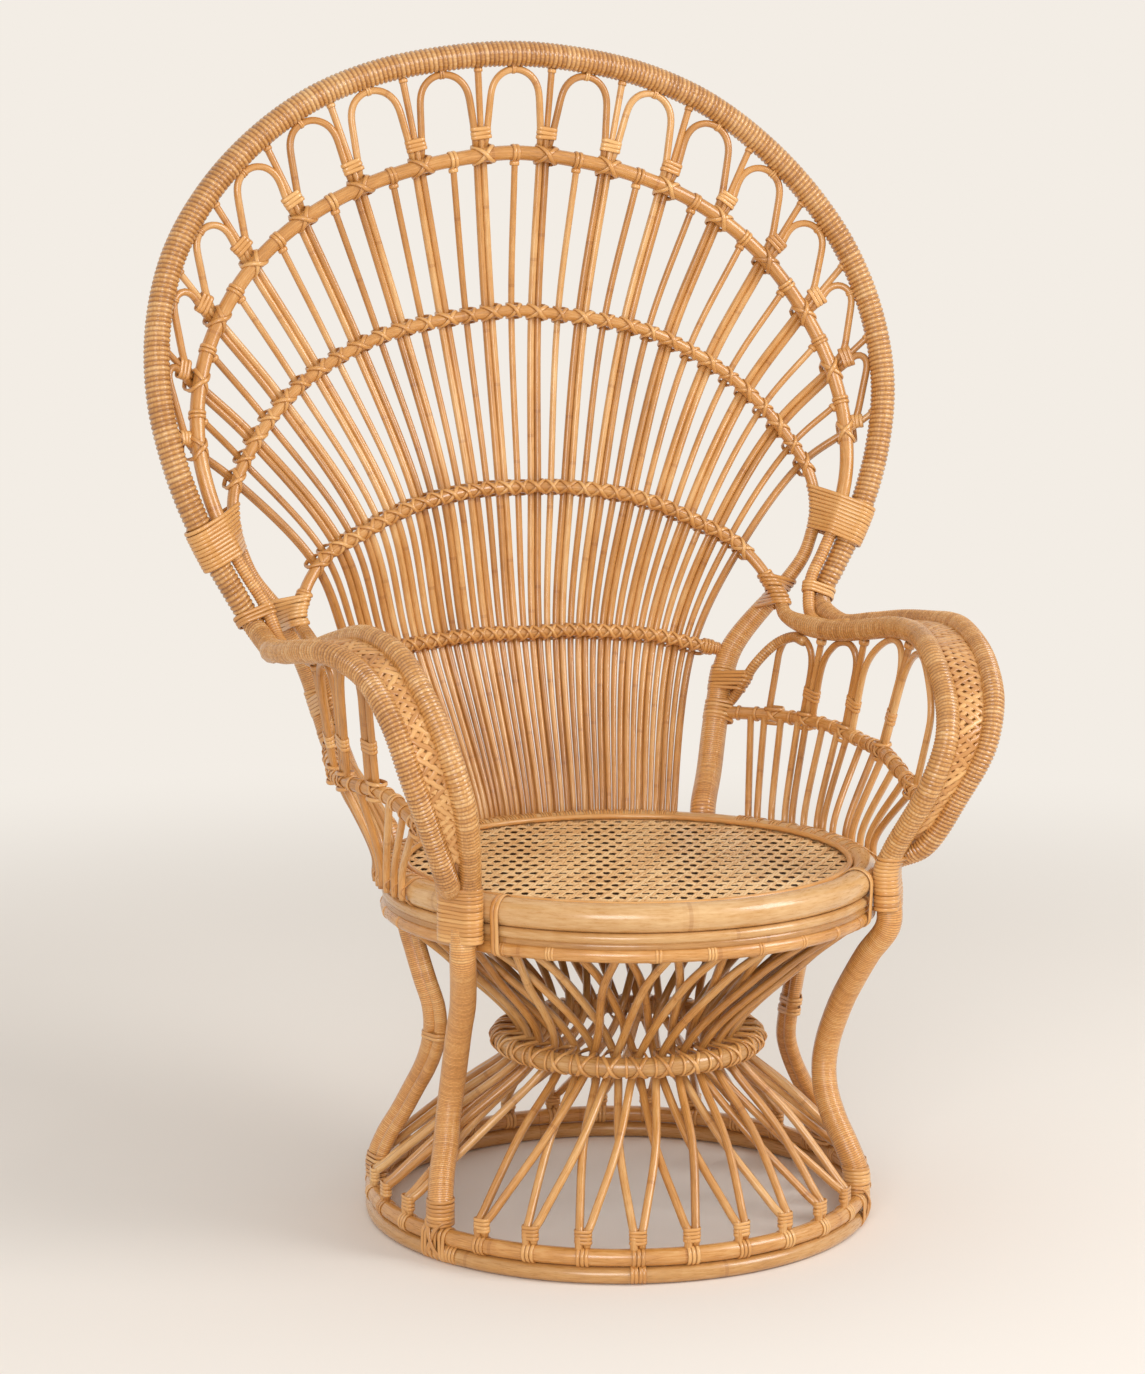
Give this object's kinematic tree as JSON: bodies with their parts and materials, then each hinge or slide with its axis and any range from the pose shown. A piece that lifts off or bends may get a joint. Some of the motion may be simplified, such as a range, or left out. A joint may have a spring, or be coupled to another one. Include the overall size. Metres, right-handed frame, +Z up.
{
  "type": "peacock chair",
  "caption": "Rattan armchair with a tall round fan back of canes and petals, looped arms, a round cane-webbed seat and an hourglass stand of crossed canes.",
  "frame": {"origin": "middle of the chair's bounding box, on the floor", "axes": "+Z up, -Y is the way the sitter faces, +X is the sitter's left"},
  "size_m": [1.0158, 0.7466, 1.436],
  "materials": {
    "rattan_pole": "satin lacquer",
    "rattan_cane": "satin lacquer",
    "cane_webbing": "satin"
  },
  "bodies": {
    "root": {"back_hoop": "rattan_pole", "crest_arc": "rattan_cane", "upper_arc": "rattan_cane", "middle_arc": "rattan_cane", "lower_arc": "rattan_cane", "petal_cane_01": "rattan_cane", "petal_cane_02": "rattan_cane", "petal_cane_03": "rattan_cane", "petal_cane_04": "rattan_cane", "petal_cane_05": "rattan_cane", "petal_cane_06": "rattan_cane", "petal_cane_07": "rattan_cane", "petal_cane_08": "rattan_cane", "petal_cane_09": "rattan_cane", "petal_cane_10": "rattan_cane", "petal_cane_11": "rattan_cane", "petal_cane_12": "rattan_cane", "petal_cane_13": "rattan_cane", "petal_cane_14": "rattan_cane", "petal_cane_15": "rattan_cane", "seat_rim": "rattan_pole", "seat_webbing": "cane_webbing", "webbing_bead": "cane_webbing", "apron_hoop_upper": "rattan_pole", "apron_hoop_middle": "rattan_pole", "base_hoop_lower": "rattan_pole", "base_hoop_upper": "rattan_pole", "waist_hoop": "rattan_pole", "apron_hoop_lower": "rattan_pole", "front_leg_right": "rattan_pole", "rear_leg_right": "rattan_pole", "outer_arm_rail_right": "rattan_pole", "inner_arm_rail_right": "rattan_pole", "rear_post_right": "rattan_pole", "arm_panel_right": "rattan_cane", "arm_brace_right": "rattan_cane", "arm_infill_right": "cane_webbing", "front_leg_left": "rattan_pole", "rear_leg_left": "rattan_pole", "outer_arm_rail_left": "rattan_pole", "inner_arm_rail_left": "rattan_pole", "rear_post_left": "rattan_pole", "arm_panel_left": "rattan_cane", "arm_brace_left": "rattan_cane", "arm_infill_left": "cane_webbing"}
  },
  "joints": []
}
